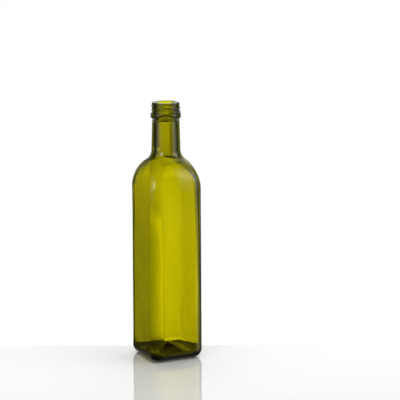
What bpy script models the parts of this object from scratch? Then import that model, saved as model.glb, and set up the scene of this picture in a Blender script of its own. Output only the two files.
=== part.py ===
"""Square marasca bottle of olive green glass, empty and open, standing on its base.

Units are metres and +Z is up. The origin is the centre of the base, on the surface that the
bottle stands on, and the four flat sides face +X, +Y, -X and -Y.

The glass is one closed skin, lofted through rounded squares that grow round at the neck: from
the middle of the push-up, out under the base, up the outside to the lip, down the bore and the
inside, and in over the floor of the cavity.
"""

import math

import bmesh
import bpy

MM = 0.001

# Height of the lip above the surface, and the points on each corner arc of a ring
HEIGHT = 262.0 * MM
ARC_POINTS = 10

# Body: a rounded square with a slight draft, so it is a little wider at the heel
HALF_AT_HEEL = 29.2 * MM
HALF_AT_SHOULDER = 28.8 * MM
CORNER_RADIUS = 10.0 * MM
HEEL_RADIUS = 9.0 * MM
HEEL_STEPS = 7

# Shoulder: a convex arc and then a concave one, on the flat sides and on the diagonals
SHOULDER_BASE = 174.7 * MM
SIDE_ARC = 50.0 * MM
SIDE_FILLET = 11.5 * MM
DIAGONAL_ARC = 35.0 * MM
DIAGONAL_FILLET = 9.0 * MM
SHOULDER_STEPS = 19

# Neck: a slight cone
NECK_ROOT = 214.0 * MM
NECK_ROOT_RADIUS = 14.75 * MM
NECK_TOP_RADIUS = 13.85 * MM
NECK_STEPS = 4

# Finish: a transfer bead, then a plain wall with a screw thread round it, then the lip
BEAD_BOTTOM = 246.0 * MM
BEAD_TOP = 251.6 * MM
BEAD_RADIUS = 15.25 * MM
BEAD_ROUNDING = 0.9 * MM
BEAD_STEPS = 3
FINISH_RADIUS = 14.0 * MM
LIP_ROUNDING = 0.8 * MM
LIP_INNER_ROUNDING = 1.2 * MM
LIP_STEPS = 4

# Right-hand thread, counted down from its start, which faces the front left corner
THREAD_PITCH = 3.63 * MM
THREAD_DEPTH = 1.0 * MM
THREAD_HALF_WIDTH = 1.25 * MM
THREAD_START = 259.1 * MM
THREAD_START_ANGLE = math.radians(-114.0)
THREAD_TURNS = 2.0
THREAD_FADE_TURNS = 0.12
THREAD_STEPS = 19

# Walls: even glass in the body, thicker in the neck, and a bore that widens downwards
BODY_WALL = 3.1 * MM
CORNER_EXTRA = 0.7 * MM
BORE_RADIUS = 9.4 * MM
BORE_ROOT_RADIUS = 10.0 * MM
INNER_SIDE_FILLET = 18.0 * MM
INNER_DIAGONAL_FILLET = 15.0 * MM
INNER_NECK_STEPS = 4

# Base: a flat bearing ring round a push-up, and the floor of the cavity domed over it
BEARING_INNER_HALF = 16.4 * MM
BEARING_INNER_CORNER = 8.0 * MM
PUSH_UP_HEIGHT = 5.5 * MM
PUSH_UP_STEPS = 6
FLOOR_EDGE = 5.0 * MM
FLOOR_DOME = 6.5 * MM
INNER_HEEL_RADIUS = 6.5 * MM
INNER_HEEL_STEPS = 6
FLOOR_STEPS = 6

GLASS_COLOR = (0.30, 0.28, 0.01, 1.0)
GLASS_ROUGHNESS = 0.04
GLASS_IOR = 1.52
SHARP_ANGLE = math.radians(40)

DIAGONAL = math.sqrt(2)


def steps(low, high, count):
    """The values of count equal steps from low to high, without low."""
    return [low + (high - low) * i / count for i in range(1, count + 1)]


def ring(height, half, corner):
    """One ring of the loft: a square with flats at half from the axis and rounded corners.

    The arcs are drawn just outside their radius, so that every flat lies where it should.
    With corner equal to half, the ring is round.
    """
    step = math.pi / 2 / ARC_POINTS
    reach = corner / math.cos(step / 2)
    points = []
    for quarter in range(4):
        turn = quarter * math.pi / 2
        for i in range(ARC_POINTS):
            angle = (i + 0.5) * step
            x = half - corner + reach * math.cos(angle)
            y = half - corner + reach * math.sin(angle)
            points.append(
                (
                    x * math.cos(turn) - y * math.sin(turn),
                    x * math.sin(turn) + y * math.cos(turn),
                    height,
                )
            )
    return points


def round_ring(height, radius):
    return ring(height, radius, radius)


def diagonal_of(half, corner):
    """How far the middle of a rounded corner is from the axis."""
    return (half - corner) * DIAGONAL + corner


def corner_of(half, diagonal):
    """The corner radius of the rounded square with this half width and this diagonal reach."""
    return min(half, (half * DIAGONAL - diagonal) / (DIAGONAL - 1))


def shoulder_reach(height, body_reach, neck_radius, arc, fillet):
    """Distance from the axis at a height: up the body's side, over the arc, into the neck."""
    arc_centre = body_reach - arc
    fillet_centre = neck_radius + fillet
    rise = math.sqrt((arc + fillet) ** 2 - (fillet_centre - arc_centre) ** 2)
    climbed = height - SHOULDER_BASE
    if climbed <= rise * arc / (arc + fillet):
        return arc_centre + math.sqrt(arc**2 - climbed**2)
    if climbed < rise:
        return fillet_centre - math.sqrt(fillet**2 - (rise - climbed) ** 2)
    return neck_radius


def shoulder_rings(wall, extra, neck_radius, side_fillet, diagonal_fillet):
    """The shoulder's rings, from its base to the neck's root, this far inside its outside."""
    half = HALF_AT_SHOULDER - wall
    diagonal = diagonal_of(HALF_AT_SHOULDER, CORNER_RADIUS) - wall - extra
    rings = []
    for height in [SHOULDER_BASE, *steps(SHOULDER_BASE, NECK_ROOT, SHOULDER_STEPS)]:
        side_reach = shoulder_reach(height, half, neck_radius, SIDE_ARC - wall, side_fillet)
        diagonal_reach = shoulder_reach(
            height, diagonal, neck_radius, DIAGONAL_ARC - wall, diagonal_fillet
        )
        rings.append(ring(height, side_reach, corner_of(side_reach, diagonal_reach)))
    return rings


def push_up_rings():
    """From the middle of the push-up, out and down to the inner edge of the bearing ring."""
    rings = []
    for share in steps(0, 1, PUSH_UP_STEPS):
        half = BEARING_INNER_HALF * share
        height = PUSH_UP_HEIGHT * (1 + math.cos(math.pi * share)) / 2
        corner = half + (BEARING_INNER_CORNER - BEARING_INNER_HALF) * share**3
        rings.append(ring(height, half, corner))
    return rings


def heel_rings():
    """From the outer edge of the bearing ring, round the heel to the foot of the body."""
    rings = []
    for turn in [0, *steps(0, math.pi / 2, HEEL_STEPS)]:
        inset = HEEL_RADIUS * (1 - math.sin(turn))
        height = HEEL_RADIUS * (1 - math.cos(turn))
        rings.append(ring(height, HALF_AT_HEEL - inset, CORNER_RADIUS - inset))
    return rings


def neck_rings():
    """The outside of the neck, above its root and up to the underside of the bead."""
    rings = []
    for share in steps(0, 1, NECK_STEPS):
        radius = NECK_ROOT_RADIUS + (NECK_TOP_RADIUS - NECK_ROOT_RADIUS) * share
        rings.append(round_ring(NECK_ROOT + (BEAD_BOTTOM - NECK_ROOT) * share, radius))
    return rings


def bead_rings():
    """The transfer bead, with its two edges rounded."""
    middle = BEAD_RADIUS - BEAD_ROUNDING
    rings = []
    for turn in [0, *steps(0, math.pi / 2, BEAD_STEPS)]:
        height = BEAD_BOTTOM + BEAD_ROUNDING * (1 - math.cos(turn))
        rings.append(round_ring(height, middle + BEAD_ROUNDING * math.sin(turn)))
    for turn in [0, *steps(0, math.pi / 2, BEAD_STEPS)]:
        height = BEAD_TOP - BEAD_ROUNDING * (1 - math.sin(turn))
        rings.append(round_ring(height, middle + BEAD_ROUNDING * math.cos(turn)))
    return rings


def thread_height(angle, height):
    """How far the thread stands out of the finish's wall there."""
    turned = ((THREAD_START_ANGLE - angle) / (2 * math.pi)) % 1
    best = 0
    for turns in (turned, turned + 1):
        if turns > THREAD_TURNS:
            continue
        away = abs(height - THREAD_START + THREAD_PITCH * turns) / THREAD_HALF_WIDTH
        fade = min(1, turns / THREAD_FADE_TURNS, (THREAD_TURNS - turns) / THREAD_FADE_TURNS)
        if away < 1:
            best = max(best, fade * (1 + math.cos(math.pi * away)) / 2)
    return THREAD_DEPTH * best


def thread_rings():
    """The wall of the finish above the bead, with the thread standing out of it."""
    rings = []
    for height in steps(BEAD_TOP, HEIGHT - LIP_ROUNDING, THREAD_STEPS):
        plain = round_ring(height, FINISH_RADIUS)
        swollen = []
        for x, y, z in plain:
            grow = 1 + thread_height(math.atan2(y, x), z) / FINISH_RADIUS
            swollen.append((x * grow, y * grow, z))
        rings.append(swollen)
    return rings


def lip_rings():
    """Over the lip: its outer rounding, its flat land and its inner rounding."""
    rings = []
    for turn in steps(0, math.pi / 2, LIP_STEPS):
        height = HEIGHT - LIP_ROUNDING * (1 - math.sin(turn))
        rings.append(round_ring(height, FINISH_RADIUS - LIP_ROUNDING * (1 - math.cos(turn))))
    for turn in [0, *steps(0, math.pi / 2, LIP_STEPS)]:
        height = HEIGHT - LIP_INNER_ROUNDING * (1 - math.cos(turn))
        rings.append(round_ring(height, BORE_RADIUS + LIP_INNER_ROUNDING * (1 - math.sin(turn))))
    return rings


def bore_rings():
    """Down the bore, from below the lip to just above the neck's root."""
    top = HEIGHT - LIP_INNER_ROUNDING
    rings = []
    for share in steps(0, 1, INNER_NECK_STEPS)[:-1]:
        radius = BORE_RADIUS + (BORE_ROOT_RADIUS - BORE_RADIUS) * share
        rings.append(round_ring(top + (NECK_ROOT - top) * share, radius))
    return rings


def cavity_rings():
    """Down the inside of the shoulder and the body, and in over the floor to its middle."""
    rings = shoulder_rings(
        BODY_WALL, CORNER_EXTRA, BORE_ROOT_RADIUS, INNER_SIDE_FILLET, INNER_DIAGONAL_FILLET
    )
    rings.reverse()
    half = HALF_AT_HEEL - BODY_WALL
    outer_diagonal = diagonal_of(HALF_AT_HEEL, CORNER_RADIUS)
    corner = corner_of(half, outer_diagonal - BODY_WALL - CORNER_EXTRA)
    for turn in [0, *steps(0, math.pi / 2, INNER_HEEL_STEPS)]:
        inset = INNER_HEEL_RADIUS * (1 - math.cos(turn))
        height = FLOOR_EDGE + INNER_HEEL_RADIUS * (1 - math.sin(turn))
        rings.append(ring(height, half - inset, corner))
    floor_half = half - INNER_HEEL_RADIUS
    for share in steps(1, 0, FLOOR_STEPS)[:-1]:
        floor = floor_half * share
        height = FLOOR_EDGE + FLOOR_DOME * (1 + math.cos(math.pi * share)) / 2
        rings.append(ring(height, floor, floor + (corner - floor_half) * share**3))
    return rings


def bottle_rings():
    """Every ring of the skin, from under the base, over the lip, to the floor inside."""
    return [
        *push_up_rings(),
        *heel_rings(),
        *shoulder_rings(0, 0, NECK_ROOT_RADIUS, SIDE_FILLET, DIAGONAL_FILLET),
        *neck_rings(),
        *bead_rings(),
        *thread_rings(),
        *lip_rings(),
        *bore_rings(),
        *cavity_rings(),
    ]


def lofted_mesh(name, rings, first_pole, last_pole):
    """A closed mesh through the rings, with a fan to a point at each end."""
    shape = bmesh.new()
    loops = [[shape.verts.new(point) for point in points] for points in rings]
    count = len(loops[0])
    for lower, upper in zip(loops, loops[1:]):
        for i in range(count):
            j = (i + 1) % count
            shape.faces.new((lower[i], lower[j], upper[j], upper[i]))
    first = shape.verts.new(first_pole)
    last = shape.verts.new(last_pole)
    for i in range(count):
        j = (i + 1) % count
        shape.faces.new((first, loops[0][j], loops[0][i]))
        shape.faces.new((last, loops[-1][i], loops[-1][j]))
    mesh = bpy.data.meshes.new(name)
    shape.to_mesh(mesh)
    shape.free()
    mesh.shade_smooth()
    mesh.set_sharp_from_angle(angle=SHARP_ANGLE)
    return mesh


def glass_material():
    material = bpy.data.materials.new("olive_glass")
    material.use_nodes = True
    shader = material.node_tree.nodes["Principled BSDF"]
    shader.inputs["Base Color"].default_value = GLASS_COLOR
    shader.inputs["Roughness"].default_value = GLASS_ROUGHNESS
    shader.inputs["Metallic"].default_value = 0.0
    shader.inputs["IOR"].default_value = GLASS_IOR
    shader.inputs["Transmission Weight"].default_value = 1.0
    return material


def main():
    for item in list(bpy.data.objects):
        bpy.data.objects.remove(item, do_unlink=True)
    mesh = lofted_mesh(
        "bottle",
        bottle_rings(),
        (0, 0, PUSH_UP_HEIGHT),
        (0, 0, FLOOR_EDGE + FLOOR_DOME),
    )
    mesh.materials.append(glass_material())
    bottle = bpy.data.objects.new("bottle", mesh)
    bpy.context.scene.collection.objects.link(bottle)


main()
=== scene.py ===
"""Looks of the square marasca bottle: clear olive green glass on a pale glossy table.

Everything is in metres in the bottle's own frame: +Z up, the base's centre at the origin, and
the four flat sides facing +X, +Y, -X and -Y. Lengths that are easier to read in millimetres
are multiplied by MM. The glass is drawn again here from the same driving sizes as its solid,
with far more rings and columns, the seams of its mould and the unevenness of blown glass.
"""

import math
from typing import NamedTuple

import bmesh
import bpy
from mathutils import Matrix, Vector


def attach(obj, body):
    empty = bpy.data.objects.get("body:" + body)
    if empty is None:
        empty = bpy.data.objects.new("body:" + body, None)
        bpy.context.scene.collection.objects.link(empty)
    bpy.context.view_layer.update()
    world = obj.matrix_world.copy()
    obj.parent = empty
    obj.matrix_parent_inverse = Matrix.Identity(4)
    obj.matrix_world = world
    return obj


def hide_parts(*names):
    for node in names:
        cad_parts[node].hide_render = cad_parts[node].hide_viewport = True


MM = 0.001


class Radii(NamedTuple):
    """The two radii of an elliptical corner."""

    along_x: float
    along_y: float


class Ripple(NamedTuple):
    """A wave on the inner wall: waves round the bottle, waves up it, and its depth."""

    around: int
    upward: float
    depth: float


class Glow(NamedTuple):
    """A window of light with soft edges, in degrees.

    left and right are measured from the camera's axis, to the right, and low and high from the
    level. across and upward say over how many degrees its edges fade, and light how bright it is.
    """

    left: float
    right: float
    low: float
    high: float
    across: float
    upward: float
    light: float


# Body: a rounded square with a slight draft
HEIGHT = 262.0 * MM
HALF_AT_HEEL = 29.2 * MM
HALF_AT_SHOULDER = 28.8 * MM
CORNER_RADIUS = 10.0 * MM
HEEL_RADIUS = 9.0 * MM
HEEL_STEPS = 16
BODY_STEPS = 34

# Shoulder: a convex arc and then a concave one, on the flat sides and on the diagonals
SHOULDER_BASE = 174.7 * MM
SIDE_ARC = 50.0 * MM
SIDE_FILLET = 11.5 * MM
DIAGONAL_ARC = 35.0 * MM
DIAGONAL_FILLET = 9.0 * MM
SHOULDER_STEPS = 56

# The flat sides are slightly crowned where the body meets the shoulder
CROWN = 0.6 * MM
CROWN_FROM = 160.0 * MM
CROWN_FULL = 190.0 * MM
CROWN_FADES = 198.0 * MM

# Neck and finish
NECK_ROOT = 214.0 * MM
NECK_ROOT_RADIUS = 14.75 * MM
NECK_TOP_RADIUS = 13.85 * MM
NECK_STEPS = 8
BEAD_BOTTOM = 246.0 * MM
BEAD_TOP = 251.6 * MM
BEAD_RADIUS = 15.25 * MM
BEAD_ROUNDING = 0.9 * MM
BEAD_STEPS = 6
FINISH_RADIUS = 14.0 * MM
LIP_ROUNDING = 0.8 * MM
LIP_INNER_ROUNDING = 1.2 * MM
LIP_STEPS = 6
THREAD_PITCH = 3.63 * MM
THREAD_DEPTH = 1.0 * MM
THREAD_HALF_WIDTH = 1.25 * MM
THREAD_START = 259.1 * MM
THREAD_START_ANGLE = math.radians(-114.0)
THREAD_TURNS = 2.0
THREAD_FADE_TURNS = 0.12
THREAD_STEPS = 44

# Inside of the glass
BODY_WALL = 3.1 * MM
CORNER_EXTRA = 0.7 * MM
BORE_RADIUS = 9.4 * MM
NECK_ROOT_WALL = 4.75 * MM
THICKENING_FROM = 182.0 * MM
THICKENING_TO = 214.0 * MM
INNER_TOP = 216.0 * MM
INNER_MARGIN = 6.0 * MM
PROFILE_STEPS = 200
PROBE = 0.05 * MM

# The blown glass is uneven: the wall of each side, and the radii of each inner corner, by the
# signs of its x and y. This is so up to UNEVEN_TO, and from EVEN_FROM the wall is even.
UNEVEN_TO = 110.0 * MM
EVEN_FROM = 212.0 * MM
RIGHT_WALL = 2.8 * MM
BACK_WALL = 3.0 * MM
LEFT_WALL = 4.9 * MM
FRONT_WALL = 2.1 * MM
INNER_CORNERS = {
    (1, 1): Radii(along_x=8.0 * MM, along_y=8.5 * MM),
    (-1, 1): Radii(along_x=4.5 * MM, along_y=5.2 * MM),
    (-1, -1): Radii(along_x=10.2 * MM, along_y=13.2 * MM),
    (1, -1): Radii(along_x=6.5 * MM, along_y=6.5 * MM),
}
INNER_NECK_STEPS = 12

# Blown glass has no sharp change of curve inside, so the inner wall at each angle is averaged
# over this many degrees to both sides
SOFTEN_BY = 7.0
SOFTEN_STEPS = 7

# Slow ripples of the inner wall
RIPPLES = [
    Ripple(around=3, upward=2.0, depth=0.05 * MM),
    Ripple(around=5, upward=3.3, depth=0.04 * MM),
    Ripple(around=9, upward=1.3, depth=0.02 * MM),
]

# The mould's seam: a fine ridge down two opposite corners, from the heel to the bead
SEAM_ANGLES = (math.radians(135.0), math.radians(315.0))
SEAM_WIDTH = math.radians(1.2)
SEAM_HEIGHT = 0.06 * MM

# Base
BEARING_INNER_HALF = 16.4 * MM
BEARING_INNER_CORNER = 8.0 * MM
PUSH_UP_HEIGHT = 5.5 * MM
PUSH_UP_STEPS = 14
FLOOR_EDGE = 4.5 * MM
FLOOR_DOME = 9.0 * MM
INNER_HEEL_RADIUS = 5.5 * MM
INNER_HEEL_STEPS = 12
FLOOR_STEPS = 14

# Glass: its depth has nearly all of the colour, and its surface a faint cloudy tint
GLASS_IOR = 1.52
ABSORPTION_COLOUR = (0.898, 0.9045, 0.0, 1.0)
ABSORPTION_DENSITY = 1600.0
SURFACE_TINT = (1.0, 0.90, 0.84, 1.0)
SURFACE_TINT_PALE = (1.0, 0.92, 0.87, 1.0)
CLOUD_SCALE = 60.0
CLOUD_DETAIL = 3.0

# Glass surface: streaks that run up it, and the stippled ring that it stands on
STREAK_STRETCH = (90.0, 90.0, 9.0)
STREAK_DETAIL = 2.0
BUMP_DEPTH = 0.02 * MM
STIPPLE_TOP = 0.6 * MM
STIPPLE_SCALE = 1500.0
STIPPLE_DETAIL = 1.0
STIPPLE_ROUGHNESS = 0.3

# Columns of the mesh, as angles round the axis: close together where the corners turn
FLAT_COLUMN_STEP = 4.0
CORNER_COLUMN_STEP = 1.0
CORNER_FROM = 32.0

DIAGONAL = math.sqrt(2)

# Camera, from the photo's perspective, with its angles in radians
CAMERA_AZIMUTH = math.radians(24.371)
CAMERA_DISTANCE = 1629.1 * MM
CAMERA_HEIGHT = 473.5 * MM
CAMERA_PITCH = 0.1891
CAMERA_YAW = 0.0210
CAMERA_ROLL = math.radians(-0.15)
FOCAL_PIXELS = 1634.4
IMAGE_WIDTH = 400
SENSOR_WIDTH = 36.0
CLIP_START = 0.05
CLIP_END = 50.0

# Table: its far edge by its distance from the camera, and a dim card of painted shadow under
# the bottle's foot, glowing in place of the table's shade there, which shows only through the glass
# and as a reflection
TABLE_EDGE_DISTANCE = 1659.8 * MM
TABLE_HALF_WIDTH = 0.6
TABLE_NEAR = -0.5
TABLE_COLOUR = (0.8, 0.8, 0.79, 1.0)
TABLE_ROUGHNESS = 0.03
TABLE_IOR = 1.5
FOOT_CARD_HALF_WIDTH = 45.0 * MM
FOOT_CARD_NEAR = -35.0 * MM
FOOT_CARD_FAR = 45.0 * MM
FOOT_CARD_HEIGHT = -0.5 * MM
FOOT_SHADOW_LIGHT = 0.12

# White surround, which only the camera sees
SURROUND_REACH = 6.0
SURROUND_LOW = -20.0 * MM
SURROUND_LIGHT = 1.0

# The lamp over the table
LAMP_WIDTH = 1.6
LAMP_HEIGHT = 1.6
LAMP_POWER = 19.5

# The studio round the bottle: a faint light from everywhere, and windows that add to it. The
# backdrop's are seen through the glass, and the others at its edges, as reflections in it and
# in the table, and from other sides. The table's card shows only in what the table mirrors.
AMBIENT = 0.025
STUDIO = {
    "backdrop": Glow(left=-14.5, right=4.5, low=-17.0, high=7.5, across=3.5, upward=5.5, light=0.8),
    "backdrop_wide": Glow(
        left=-22.0, right=28.0, low=-14.0, high=8.0, across=50.0, upward=9.0, light=0.78
    ),
    "backdrop_left": Glow(
        left=-37.0, right=-13.5, low=-16.0, high=-10.5, across=4.0, upward=1.5, light=1.4
    ),
    "backdrop_low": Glow(
        left=-40.0, right=77.0, low=-60.0, high=-19.0, across=7.5, upward=20.5, light=0.52
    ),
    "backdrop_foot": Glow(
        left=-8.0, right=10.0, low=-31.0, high=-17.5, across=5.0, upward=3.0, light=1.0
    ),
    "backdrop_down": Glow(
        left=-9.0, right=30.0, low=-22.0, high=-13.5, across=3.0, upward=4.0, light=0.2
    ),
    "backdrop_upper": Glow(
        left=-5.0, right=12.0, low=-6.5, high=2.0, across=4.0, upward=2.0, light=0.35
    ),
    "backdrop_edge": Glow(
        left=-46.0, right=-29.0, low=-8.0, high=37.0, across=6.5, upward=2.0, light=0.22
    ),
    "backdrop_top": Glow(
        left=-38.0, right=22.5, low=20.5, high=69.5, across=1.5, upward=4.5, light=0.42
    ),
    "backdrop_right": Glow(
        left=4.0, right=30.0, low=-3.0, high=15.0, across=8.0, upward=5.0, light=0.45
    ),
    "high_left": Glow(left=-24.5, right=-11.0, low=5.0, high=17.0, across=3.5, upward=1.5, light=0.37),
    "high_right": Glow(
        left=42.0, right=99.0, low=24.5, high=79.0, across=49.5, upward=6.0, light=0.43
    ),
    "high_middle": Glow(
        left=-26.0, right=16.0, low=13.0, high=19.0, across=6.0, upward=3.0, light=1.6
    ),
    "high_near_right": Glow(
        left=14.0, right=42.0, low=16.0, high=48.0, across=8.0, upward=8.0, light=0.8
    ),
    "right_softbox": Glow(
        left=77.0, right=124.0, low=5.5, high=31.5, across=15.0, upward=25.5, light=3.0
    ),
    "right_fill": Glow(
        left=84.0, right=123.0, low=-11.0, high=2.0, across=20.5, upward=3.0, light=1.1
    ),
    "left_softbox": Glow(
        left=-144.5, right=-94.5, low=-10.0, high=39.0, across=49.5, upward=3.5, light=0.43
    ),
    "left_lamp": Glow(
        left=-157.0, right=-134.0, low=4.0, high=27.0, across=8.0, upward=6.0, light=3.5
    ),
    "behind_wide": Glow(
        left=-128.0, right=-102.0, low=-8.0, high=5.0, across=8.0, upward=4.0, light=0.6
    ),
    "behind_left": Glow(
        left=-86.0, right=-62.0, low=-45.0, high=-19.0, across=5.0, upward=5.0, light=1.2
    ),
    "behind_right": Glow(
        left=96.0, right=120.0, low=-40.0, high=-12.0, across=5.0, upward=4.0, light=1.0
    ),
}
TABLE_CARD = Glow(left=-16.0, right=16.0, low=13.0, high=19.0, across=4.0, upward=2.0, light=0.1)


def steps(low, high, count):
    """The values of count equal steps from low to high, without low."""
    return [low + (high - low) * i / count for i in range(1, count + 1)]


def columns():
    """The angles round the axis at which every ring has a point."""
    quarter = []
    angle = 0.0
    while angle < 90.0 - 1e-6:
        quarter.append(angle)
        near_corner = CORNER_FROM <= angle < 90.0 - CORNER_FROM
        angle += CORNER_COLUMN_STEP if near_corner else FLAT_COLUMN_STEP
    return [math.radians(a + 90.0 * turn) for turn in range(4) for a in quarter]


COLUMNS = columns()


def reach_at(angle, half_x, half_y, corner_x, corner_y):
    """Distance from the axis, along one direction, to a rectangle with elliptical corners."""
    ux, uy = abs(math.cos(angle)), abs(math.sin(angle))
    cx, cy = half_x - corner_x, half_y - corner_y
    if ux > 1e-9 and half_x / ux * uy <= cy:
        return half_x / ux
    if uy > 1e-9 and half_y / uy * ux <= cx:
        return half_y / uy
    a = (ux / corner_x) ** 2 + (uy / corner_y) ** 2
    b = ux * cx / corner_x**2 + uy * cy / corner_y**2
    c = (cx / corner_x) ** 2 + (cy / corner_y) ** 2 - 1
    return (b + math.sqrt(max(0.0, b * b - a * c))) / a


def softening():
    """The turns over which the inner wall is averaged, each with its weight."""
    turns = steps(-SOFTEN_BY, SOFTEN_BY, 2 * SOFTEN_STEPS)[:-1]
    weights = [math.cos(math.pi / 2 * turn / SOFTEN_BY) ** 2 for turn in turns]
    return [(math.radians(turn), weight / sum(weights)) for turn, weight in zip(turns, weights)]


SOFTENING = softening()


def unevenness(angle):
    """How far the real inner wall is outside the even one, along one direction."""
    side_x = 1 if math.cos(angle) > 0 else -1
    side_y = 1 if math.sin(angle) > 0 else -1
    half_x = HALF_AT_HEEL - (RIGHT_WALL if side_x > 0 else LEFT_WALL)
    half_y = HALF_AT_HEEL - (BACK_WALL if side_y > 0 else FRONT_WALL)
    real = 0
    for turn, weight in SOFTENING:
        corner = INNER_CORNERS[side_x, side_y]
        real += weight * reach_at(angle + turn, half_x, half_y, corner.along_x, corner.along_y)
    even = HALF_AT_HEEL - BODY_WALL
    diagonal = diagonal_of(HALF_AT_HEEL, CORNER_RADIUS) - BODY_WALL - CORNER_EXTRA
    corner = corner_of(even, diagonal)
    return real - reach_at(angle, even, even, corner, corner)


def smooth_share(value, low, high):
    """0 up to low, 1 from high, and a smooth rise between them."""
    share = min(1, max(0, (value - low) / (high - low)))
    return share * share * (3 - 2 * share)


def crown_at(height):
    """How far the middle of a flat side stands out at a height."""
    rising = smooth_share(height, CROWN_FROM, CROWN_FULL)
    return CROWN * rising * (1 - smooth_share(height, CROWN_FADES, NECK_ROOT))


def ring(height, half, corner, uneven=0):
    """One ring: a square with flats at half and rounded corners, moved by the share uneven of
    the wall's unevenness."""
    crown = crown_at(height)
    points = []
    for angle in COLUMNS:
        reach = reach_at(angle, half, half, corner, corner)
        if uneven:
            reach += uneven * (unevenness(angle) + ripple(angle, height))
        reach += crown * (1 + math.cos(4 * angle)) / 2
        points.append((reach * math.cos(angle), reach * math.sin(angle), height))
    return points


def uneven_share(height):
    """The share of the unevenness that is left at a height: none at the neck."""
    return 1 - smooth_share(height, UNEVEN_TO, EVEN_FROM)


def ripple(angle, height):
    """How far the ripples move the inner wall outward."""
    depth = 0
    for wave in RIPPLES:
        phase = wave.around * angle + 2 * math.pi * wave.upward * height / HEIGHT
        depth += wave.depth * math.sin(phase)
    return depth


def with_seam(rings):
    """The rings of the outside with the seam raised on them."""
    seamed = []
    for points in rings:
        moved = []
        for angle, (x, y, z) in zip(COLUMNS, points):
            on_seam = any(abs(angle - seam) < SEAM_WIDTH / 2 for seam in SEAM_ANGLES)
            grow = 1 + SEAM_HEIGHT / math.hypot(x, y) if on_seam else 1
            moved.append((x * grow, y * grow, z))
        seamed.append(moved)
    return seamed


def round_ring(height, radius):
    return ring(height, radius, radius)


def diagonal_of(half, corner):
    return (half - corner) * DIAGONAL + corner


def corner_of(half, diagonal):
    return min(half, (half * DIAGONAL - diagonal) / (DIAGONAL - 1))


def shoulder_reach(height, body_reach, neck_radius, arc, fillet):
    arc_centre = body_reach - arc
    fillet_centre = neck_radius + fillet
    rise = math.sqrt((arc + fillet) ** 2 - (fillet_centre - arc_centre) ** 2)
    climbed = height - SHOULDER_BASE
    if climbed <= rise * arc / (arc + fillet):
        return arc_centre + math.sqrt(arc**2 - max(0, climbed) ** 2)
    if climbed < rise:
        return fillet_centre - math.sqrt(fillet**2 - (rise - climbed) ** 2)
    return neck_radius


def side_profile(height):
    """How far the outside of a flat side is from the axis, in the shoulder and the neck's root."""
    return shoulder_reach(height, HALF_AT_SHOULDER, NECK_ROOT_RADIUS, SIDE_ARC, SIDE_FILLET)


def diagonal_profile(height):
    diagonal = diagonal_of(HALF_AT_SHOULDER, CORNER_RADIUS)
    return shoulder_reach(height, diagonal, NECK_ROOT_RADIUS, DIAGONAL_ARC, DIAGONAL_FILLET)


def shoulder_rings():
    rings = []
    for height in [SHOULDER_BASE, *steps(SHOULDER_BASE, NECK_ROOT, SHOULDER_STEPS)]:
        side, diagonal = side_profile(height), diagonal_profile(height)
        rings.append(ring(height, side, corner_of(side, diagonal)))
    return rings


def inner_profile(profile, body_wall):
    """Points of the inside, square to the outside at a wall that thickens up to the neck."""
    points = []
    for height in steps(SHOULDER_BASE - INNER_MARGIN, INNER_TOP + INNER_MARGIN, PROFILE_STEPS):
        share = smooth_share(height, THICKENING_FROM, THICKENING_TO)
        wall = body_wall + (NECK_ROOT_WALL - body_wall) * share
        slope = (profile(height + PROBE) - profile(height - PROBE)) / (2 * PROBE)
        length = math.sqrt(1 + slope * slope)
        points.append((height + wall * slope / length, profile(height) - wall / length))
    return points


def reach_in(points, height):
    """The reach at a height, between the two points of an inner profile around it."""
    for (low, reach_low), (high, reach_high) in zip(points, points[1:]):
        if low <= height <= high:
            return reach_low + (reach_high - reach_low) * (height - low) / (high - low)
    return points[-1][1]


def inner_shoulder_rings():
    side_points = inner_profile(side_profile, BODY_WALL)
    diagonal_points = inner_profile(diagonal_profile, BODY_WALL + CORNER_EXTRA)
    rings = []
    for height in [SHOULDER_BASE, *steps(SHOULDER_BASE, INNER_TOP, SHOULDER_STEPS)]:
        side, diagonal = reach_in(side_points, height), reach_in(diagonal_points, height)
        corner = corner_of(side, diagonal)
        rings.append(ring(height, side, corner, uneven_share(height)))
    return rings


def push_up_rings():
    rings = []
    for share in steps(0, 1, PUSH_UP_STEPS):
        half = BEARING_INNER_HALF * share
        height = PUSH_UP_HEIGHT * (1 + math.cos(math.pi * share)) / 2
        corner = half + (BEARING_INNER_CORNER - BEARING_INNER_HALF) * share**3
        rings.append(ring(height, half, corner))
    return rings


def heel_rings():
    rings = []
    for turn in [0, *steps(0, math.pi / 2, HEEL_STEPS)]:
        inset = HEEL_RADIUS * (1 - math.sin(turn))
        height = HEEL_RADIUS * (1 - math.cos(turn))
        rings.append(ring(height, HALF_AT_HEEL - inset, CORNER_RADIUS - inset))
    return rings


def body_rings():
    """The straight sides between the heel and the shoulder."""
    rings = []
    for height in steps(HEEL_RADIUS, SHOULDER_BASE, BODY_STEPS)[:-1]:
        share = (height - HEEL_RADIUS) / (SHOULDER_BASE - HEEL_RADIUS)
        half = HALF_AT_HEEL + (HALF_AT_SHOULDER - HALF_AT_HEEL) * share
        rings.append(ring(height, half, CORNER_RADIUS))
    return rings


def neck_rings():
    rings = []
    for share in steps(0, 1, NECK_STEPS):
        radius = NECK_ROOT_RADIUS + (NECK_TOP_RADIUS - NECK_ROOT_RADIUS) * share
        rings.append(round_ring(NECK_ROOT + (BEAD_BOTTOM - NECK_ROOT) * share, radius))
    return rings


def bead_rings():
    middle = BEAD_RADIUS - BEAD_ROUNDING
    rings = []
    for turn in [0, *steps(0, math.pi / 2, BEAD_STEPS)]:
        height = BEAD_BOTTOM + BEAD_ROUNDING * (1 - math.cos(turn))
        rings.append(round_ring(height, middle + BEAD_ROUNDING * math.sin(turn)))
    for turn in [0, *steps(0, math.pi / 2, BEAD_STEPS)]:
        height = BEAD_TOP - BEAD_ROUNDING * (1 - math.sin(turn))
        rings.append(round_ring(height, middle + BEAD_ROUNDING * math.cos(turn)))
    return rings


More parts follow.
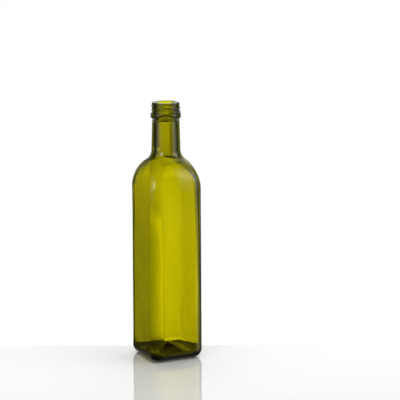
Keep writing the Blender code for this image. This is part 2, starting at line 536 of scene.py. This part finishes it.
def thread_height(angle, height):
    """How far the thread stands out at an angle and a height."""
    turned = ((THREAD_START_ANGLE - angle) / (2 * math.pi)) % 1
    best = 0
    for turns in (turned, turned + 1):
        if turns > THREAD_TURNS:
            continue
        away = abs(height - THREAD_START + THREAD_PITCH * turns) / THREAD_HALF_WIDTH
        fade = min(1, turns / THREAD_FADE_TURNS, (THREAD_TURNS - turns) / THREAD_FADE_TURNS)
        if away < 1:
            best = max(best, fade * (1 + math.cos(math.pi * away)) / 2)
    return THREAD_DEPTH * best


def thread_rings():
    rings = []
    for height in steps(BEAD_TOP, HEIGHT - LIP_ROUNDING, THREAD_STEPS):
        swollen = []
        for x, y, z in round_ring(height, FINISH_RADIUS):
            grow = 1 + thread_height(math.atan2(y, x), z) / FINISH_RADIUS
            swollen.append((x * grow, y * grow, z))
        rings.append(swollen)
    return rings


def lip_rings():
    rings = []
    for turn in steps(0, math.pi / 2, LIP_STEPS):
        height = HEIGHT - LIP_ROUNDING * (1 - math.sin(turn))
        rings.append(round_ring(height, FINISH_RADIUS - LIP_ROUNDING * (1 - math.cos(turn))))
    for turn in [0, *steps(0, math.pi / 2, LIP_STEPS)]:
        height = HEIGHT - LIP_INNER_ROUNDING * (1 - math.cos(turn))
        rings.append(round_ring(height, BORE_RADIUS + LIP_INNER_ROUNDING * (1 - math.sin(turn))))
    return rings


def bore_rings():
    top = HEIGHT - LIP_INNER_ROUNDING
    rings = []
    root = NECK_ROOT_RADIUS - NECK_ROOT_WALL
    for share in steps(0, 1, INNER_NECK_STEPS)[:-1]:
        radius = BORE_RADIUS + (root - BORE_RADIUS) * share
        rings.append(round_ring(top + (INNER_TOP - top) * share, radius))
    return rings


def cavity_rings():
    rings = inner_shoulder_rings()
    rings.reverse()
    half = HALF_AT_HEEL - BODY_WALL
    half_top = HALF_AT_SHOULDER - BODY_WALL
    outer_diagonal = diagonal_of(HALF_AT_HEEL, CORNER_RADIUS)
    corner = corner_of(half, outer_diagonal - BODY_WALL - CORNER_EXTRA)
    low = FLOOR_EDGE + INNER_HEEL_RADIUS
    for height in steps(SHOULDER_BASE, low, BODY_STEPS)[:-1]:
        share = (height - low) / (SHOULDER_BASE - low)
        side = half + (half_top - half) * share
        rings.append(ring(height, side, corner, uneven_share(height)))
    for turn in [0, *steps(0, math.pi / 2, INNER_HEEL_STEPS)]:
        inset = INNER_HEEL_RADIUS * (1 - math.cos(turn))
        height = FLOOR_EDGE + INNER_HEEL_RADIUS * (1 - math.sin(turn))
        rings.append(ring(height, half - inset, corner, 1))
    floor_half = half - INNER_HEEL_RADIUS
    for share in steps(1, 0, FLOOR_STEPS)[:-1]:
        floor = floor_half * share
        height = FLOOR_EDGE + FLOOR_DOME * (1 + math.cos(math.pi * share)) / 2
        corner_now = floor + (corner - floor_half) * share**3
        rings.append(ring(height, floor, corner_now, share))
    return rings


def bottle_rings():
    return [
        *push_up_rings(),
        *with_seam([*heel_rings(), *body_rings(), *shoulder_rings(), *neck_rings()]),
        *bead_rings(),
        *thread_rings(),
        *lip_rings(),
        *bore_rings(),
        *cavity_rings(),
    ]


def lofted_mesh(name, rings, first_pole, last_pole):
    """A closed mesh through the rings, with a fan to a point at each end."""
    shape = bmesh.new()
    loops = [[shape.verts.new(point) for point in points] for points in rings]
    count = len(loops[0])
    for lower, upper in zip(loops, loops[1:]):
        for i in range(count):
            j = (i + 1) % count
            shape.faces.new((lower[i], lower[j], upper[j], upper[i]))
    first = shape.verts.new(first_pole)
    last = shape.verts.new(last_pole)
    for i in range(count):
        j = (i + 1) % count
        shape.faces.new((first, loops[0][j], loops[0][i]))
        shape.faces.new((last, loops[-1][i], loops[-1][j]))
    mesh = bpy.data.meshes.new(name)
    shape.to_mesh(mesh)
    shape.free()
    mesh.shade_smooth()
    return mesh


def noise(tree, place, scale, detail):
    node = tree.nodes.new("ShaderNodeTexNoise")
    node.inputs["Scale"].default_value = scale
    node.inputs["Detail"].default_value = detail
    tree.links.new(place, node.inputs["Vector"])
    return node.outputs["Fac"]


def map_range(tree, value, from_low, from_high, to_low, to_high):
    node = tree.nodes.new("ShaderNodeMapRange")
    tree.links.new(value, node.inputs["Value"])
    node.inputs["From Min"].default_value = from_low
    node.inputs["From Max"].default_value = from_high
    node.inputs["To Min"].default_value = to_low
    node.inputs["To Max"].default_value = to_high
    return node.outputs["Result"]


def drawn_glass_bump(tree, shader, place):
    """Adds the streaks and the stipple to a shader, and returns how stippled each height is."""
    stretch = tree.nodes.new("ShaderNodeMapping")
    stretch.inputs["Scale"].default_value = STREAK_STRETCH
    tree.links.new(place, stretch.inputs["Vector"])
    streaks = noise(tree, stretch.outputs["Vector"], 1.0, STREAK_DETAIL)
    height = tree.nodes.new("ShaderNodeSeparateXYZ")
    tree.links.new(place, height.inputs["Vector"])
    on_ring = map_range(tree, height.outputs["Z"], 0.0, STIPPLE_TOP, 1.0, 0.0)
    grain = noise(tree, place, STIPPLE_SCALE, STIPPLE_DETAIL)
    stipple = math_node(tree, "MULTIPLY", grain, on_ring)
    bump = tree.nodes.new("ShaderNodeBump")
    bump.inputs["Strength"].default_value = 1.0
    bump.inputs["Distance"].default_value = BUMP_DEPTH
    tree.links.new(math_node(tree, "ADD", streaks, stipple), bump.inputs["Height"])
    tree.links.new(bump.outputs["Normal"], shader.inputs["Normal"])
    return on_ring


def glass_material():
    """Clear olive glass: its colour is in its depth, with a faint cloudy change on the surface."""
    material = bpy.data.materials.new("olive_glass")
    material.use_nodes = True
    tree = material.node_tree
    shader = tree.nodes["Principled BSDF"]
    shader.inputs["IOR"].default_value = GLASS_IOR
    shader.inputs["Transmission Weight"].default_value = 1.0
    place = tree.nodes.new("ShaderNodeTexCoord").outputs["Object"]
    tint = tree.nodes.new("ShaderNodeMix")
    tint.data_type = "RGBA"
    tint.inputs["A"].default_value = SURFACE_TINT
    tint.inputs["B"].default_value = SURFACE_TINT_PALE
    tree.links.new(noise(tree, place, CLOUD_SCALE, CLOUD_DETAIL), tint.inputs["Factor"])
    tree.links.new(tint.outputs["Result"], shader.inputs["Base Color"])
    on_ring = drawn_glass_bump(tree, shader, place)
    rough = map_range(tree, on_ring, 0.0, 1.0, 0.0, STIPPLE_ROUGHNESS)
    tree.links.new(rough, shader.inputs["Roughness"])
    absorption = tree.nodes.new("ShaderNodeVolumeAbsorption")
    absorption.inputs["Color"].default_value = ABSORPTION_COLOUR
    absorption.inputs["Density"].default_value = ABSORPTION_DENSITY
    output = tree.nodes["Material Output"]
    tree.links.new(absorption.outputs["Volume"], output.inputs["Volume"])
    return material


def table_material():
    material = bpy.data.materials.new("pale_table")
    material.use_nodes = True
    shader = material.node_tree.nodes["Principled BSDF"]
    shader.inputs["Base Color"].default_value = TABLE_COLOUR
    shader.inputs["Roughness"].default_value = TABLE_ROUGHNESS
    shader.inputs["IOR"].default_value = TABLE_IOR
    return material


def white_material(name, strength):
    material = bpy.data.materials.new(name)
    material.use_nodes = True
    tree = material.node_tree
    tree.nodes.clear()
    output = tree.nodes.new("ShaderNodeOutputMaterial")
    emission = tree.nodes.new("ShaderNodeEmission")
    emission.inputs["Color"].default_value = (1.0, 1.0, 1.0, 1.0)
    emission.inputs["Strength"].default_value = strength
    tree.links.new(emission.outputs["Emission"], output.inputs["Surface"])
    return material


def stage_plane(name, left, right, near, far, height, material):
    """A level rectangle on the stage, in the camera's own directions: right and far."""
    turn = CAMERA_AZIMUTH + CAMERA_YAW
    across = Vector((math.cos(turn), -math.sin(turn), 0))
    away = Vector((math.sin(turn), math.cos(turn), 0))
    corners = [(left, near), (right, near), (right, far), (left, far)]
    points = [across * a + away * b + Vector((0, 0, height)) for a, b in corners]
    mesh = bpy.data.meshes.new(name)
    mesh.from_pydata(points, [], [(0, 1, 2, 3)])
    mesh.materials.append(material)
    item = bpy.data.objects.new(name, mesh)
    bpy.context.scene.collection.objects.link(item)
    return item


def camera_only(item):
    """Hides a piece of the stage from all light, so that only the camera sees it."""
    item.visible_diffuse = False
    item.visible_glossy = False
    item.visible_transmission = False
    item.visible_shadow = False
    item.visible_volume_scatter = False


def math_node(tree, operation, *values):
    node = tree.nodes.new("ShaderNodeMath")
    node.operation = operation
    for socket, value in zip(node.inputs, values):
        if isinstance(value, (int, float)):
            socket.default_value = value
        else:
            tree.links.new(value, socket)
    return node.outputs["Value"]


def smooth_step(tree, value, low, high):
    node = tree.nodes.new("ShaderNodeMapRange")
    node.interpolation_type = "SMOOTHSTEP"
    tree.links.new(value, node.inputs["Value"])
    node.inputs["From Min"].default_value = low
    node.inputs["From Max"].default_value = high
    return node.outputs["Result"]


def window(tree, value, low, high, blur):
    """1 inside low to high degrees and 0 outside, with a fade of blur degrees over each edge."""
    rise = smooth_step(tree, value, low - blur / 2, low + blur / 2)
    fall = smooth_step(tree, value, high + blur / 2, high - blur / 2)
    return math_node(tree, "MULTIPLY", rise, fall)


def glow_light(tree, turned, raised, glow):
    """The light of one window in the direction turned and raised, in degrees."""
    across = window(tree, turned, glow.left, glow.right, glow.across)
    upward = window(tree, raised, glow.low, glow.high, glow.upward)
    share = math_node(tree, "MULTIPLY", across, upward)
    return math_node(tree, "MULTIPLY", share, glow.light)


def white_to_camera(tree, light, camera_ray):
    """The light, but 1 for what the camera sees straight on."""
    node = tree.nodes.new("ShaderNodeMix")
    node.data_type = "FLOAT"
    tree.links.new(camera_ray, node.inputs["Factor"])
    tree.links.new(light, node.inputs["A"])
    node.inputs["B"].default_value = 1.0
    return node.outputs["Result"]


def studio_world():
    """The world: the studio's windows, by the direction that the light comes from."""
    world = bpy.data.worlds.new("studio")
    world.use_nodes = True
    tree = world.node_tree
    tree.nodes.clear()
    output = tree.nodes.new("ShaderNodeOutputWorld")
    background = tree.nodes.new("ShaderNodeBackground")
    background.inputs["Color"].default_value = (1.0, 1.0, 1.0, 1.0)
    place = tree.nodes.new("ShaderNodeTexCoord")
    turn = tree.nodes.new("ShaderNodeVectorRotate")
    turn.rotation_type = "Z_AXIS"
    turn.inputs["Angle"].default_value = CAMERA_AZIMUTH + CAMERA_YAW
    tree.links.new(place.outputs["Generated"], turn.inputs["Vector"])
    parts = tree.nodes.new("ShaderNodeSeparateXYZ")
    tree.links.new(turn.outputs["Vector"], parts.inputs["Vector"])
    turned = math_node(tree, "ARCTAN2", parts.outputs["X"], parts.outputs["Y"])
    turned = math_node(tree, "DEGREES", turned)
    raised = math_node(tree, "ARCSINE", parts.outputs["Z"])
    raised = math_node(tree, "DEGREES", raised)
    light = AMBIENT
    for glow in STUDIO.values():
        light = math_node(tree, "ADD", light, glow_light(tree, turned, raised, glow))
    rays = tree.nodes.new("ShaderNodeLightPath")
    glossy, through = rays.outputs["Is Glossy Ray"], rays.outputs["Is Transmission Ray"]
    mirrored = math_node(tree, "SUBTRACT", glossy, through)
    mirrored = math_node(tree, "MAXIMUM", mirrored, 0.0)
    card = glow_light(tree, turned, raised, TABLE_CARD)
    card = math_node(tree, "MULTIPLY", card, mirrored)
    light = math_node(tree, "ADD", light, card)
    light = white_to_camera(tree, light, rays.outputs["Is Camera Ray"])
    tree.links.new(light, background.inputs["Strength"])
    tree.links.new(background.outputs["Background"], output.inputs["Surface"])
    bpy.context.scene.world = world


def table_light():
    """A soft light overhead that lights the table and shows in no reflection."""
    data = bpy.data.lights.new("overhead", "AREA")
    data.shape = "DISK"
    data.size = LAMP_WIDTH
    data.energy = LAMP_POWER
    item = bpy.data.objects.new("overhead", data)
    item.location = (0, 0, LAMP_HEIGHT)
    item.visible_glossy = False
    item.visible_transmission = False
    bpy.context.scene.collection.objects.link(item)


def make_camera():
    data = bpy.data.cameras.new("camera")
    data.sensor_width = SENSOR_WIDTH
    data.lens = FOCAL_PIXELS / IMAGE_WIDTH * SENSOR_WIDTH
    data.clip_start = CLIP_START
    data.clip_end = CLIP_END
    item = bpy.data.objects.new("camera", data)
    bpy.context.scene.collection.objects.link(item)
    back = Vector((-math.sin(CAMERA_AZIMUTH), -math.cos(CAMERA_AZIMUTH), 0))
    place = back * CAMERA_DISTANCE + Vector((0, 0, CAMERA_HEIGHT))
    turn = Matrix.Rotation(-(CAMERA_AZIMUTH + CAMERA_YAW), 4, "Z")
    tilt = Matrix.Rotation(math.pi / 2 - CAMERA_PITCH, 4, "X")
    roll = Matrix.Rotation(CAMERA_ROLL, 4, "Z")
    item.matrix_world = Matrix.Translation(place) @ turn @ tilt @ roll
    bpy.context.scene.camera = item


def make_glass():
    """The bottle's glass, as one closed mesh."""
    push_up_top = (0, 0, PUSH_UP_HEIGHT)
    floor_top = (0, 0, FLOOR_EDGE + FLOOR_DOME)
    mesh = lofted_mesh("bottle_glass", bottle_rings(), push_up_top, floor_top)
    mesh.materials.append(glass_material())
    item = bpy.data.objects.new("bottle_glass", mesh)
    bpy.context.scene.collection.objects.link(item)
    return item


def make_stage():
    """The table up to its far edge, the dim card of painted shadow under the foot, and the white
    surround.
    """
    edge = TABLE_EDGE_DISTANCE - CAMERA_DISTANCE * math.cos(CAMERA_YAW)
    width, wide = TABLE_HALF_WIDTH, SURROUND_REACH
    camera_only(stage_plane("table", -width, width, TABLE_NEAR, edge, 0.0, table_material()))
    # Painted shadow: a dim glowing card in place of the table's shade under the bottle's foot
    foot = stage_plane(
        "foot_shade",
        -FOOT_CARD_HALF_WIDTH,
        FOOT_CARD_HALF_WIDTH,
        FOOT_CARD_NEAR,
        FOOT_CARD_FAR,
        FOOT_CARD_HEIGHT,
        white_material("foot_shade", FOOT_SHADOW_LIGHT),
    )
    foot.visible_camera = False
    white = white_material("white_surround", SURROUND_LIGHT)
    camera_only(stage_plane("surround", -wide, wide, edge, wide, 0.0, white))
    camera_only(stage_plane("surround_low", -wide, wide, -wide, wide, SURROUND_LOW, white))


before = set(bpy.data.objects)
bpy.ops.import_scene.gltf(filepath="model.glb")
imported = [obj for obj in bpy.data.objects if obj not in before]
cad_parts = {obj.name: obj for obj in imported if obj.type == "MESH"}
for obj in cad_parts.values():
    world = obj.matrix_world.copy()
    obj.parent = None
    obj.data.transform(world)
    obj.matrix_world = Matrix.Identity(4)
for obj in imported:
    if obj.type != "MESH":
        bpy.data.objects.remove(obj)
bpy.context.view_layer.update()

glass = make_glass()
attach(glass, "root")
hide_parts("bottle")

make_stage()
studio_world()
make_camera()
table_light()
bpy.context.scene.view_settings.view_transform = "Standard"
